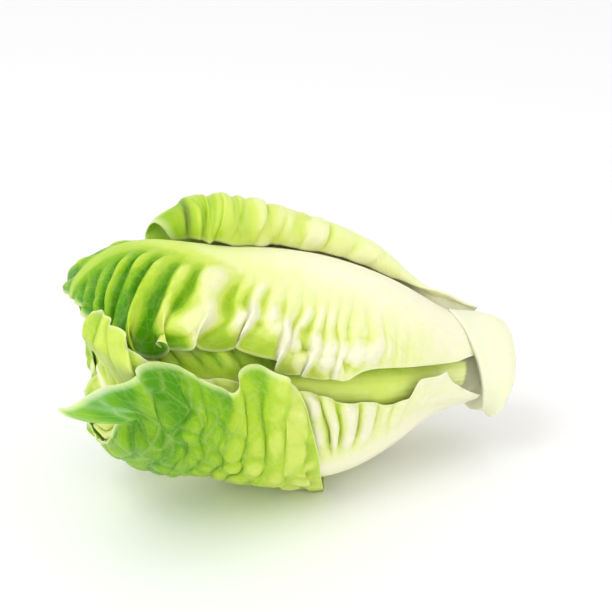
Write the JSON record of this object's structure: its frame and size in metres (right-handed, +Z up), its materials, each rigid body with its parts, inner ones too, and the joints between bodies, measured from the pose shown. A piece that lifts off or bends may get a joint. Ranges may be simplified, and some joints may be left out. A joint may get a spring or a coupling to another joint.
{
  "type": "baby cos lettuce",
  "caption": "Small upright-growing lettuce head lying on its side: tight heart wrapped in long ribbed leaves on a short cut stump.",
  "frame": {"origin": "centre of the bounding box's base, on the surface the head lies on", "axes": "+X along the head towards the cut end of the stump, +Z up; the leaf that shows most of its front faces -Y"},
  "size_m": [0.1788, 0.0938, 0.1072],
  "materials": {
    "stump": "moist white-green stalk flesh, the cut end a little browned",
    "heart": "pale yellow crumpled heart leaves",
    "inner_leaf": "yellow-green leaf blade with a pale midrib, satin",
    "outer_leaf": "green blistered leaf blade paling to a white-green midrib, satin"
  },
  "bodies": {
    "root": {"stump": "stump", "heart": "heart", "inner_leaf_1": "inner_leaf", "inner_leaf_2": "inner_leaf", "inner_leaf_3": "inner_leaf", "inner_leaf_4": "inner_leaf", "inner_leaf_5": "inner_leaf", "inner_leaf_6": "inner_leaf", "back_leaf": "outer_leaf", "low_back_leaf": "outer_leaf", "top_leaf": "outer_leaf", "front_leaf": "outer_leaf", "high_back_leaf": "outer_leaf", "under_leaf": "outer_leaf", "torn_leaf_base": "stump"}
  },
  "joints": []
}
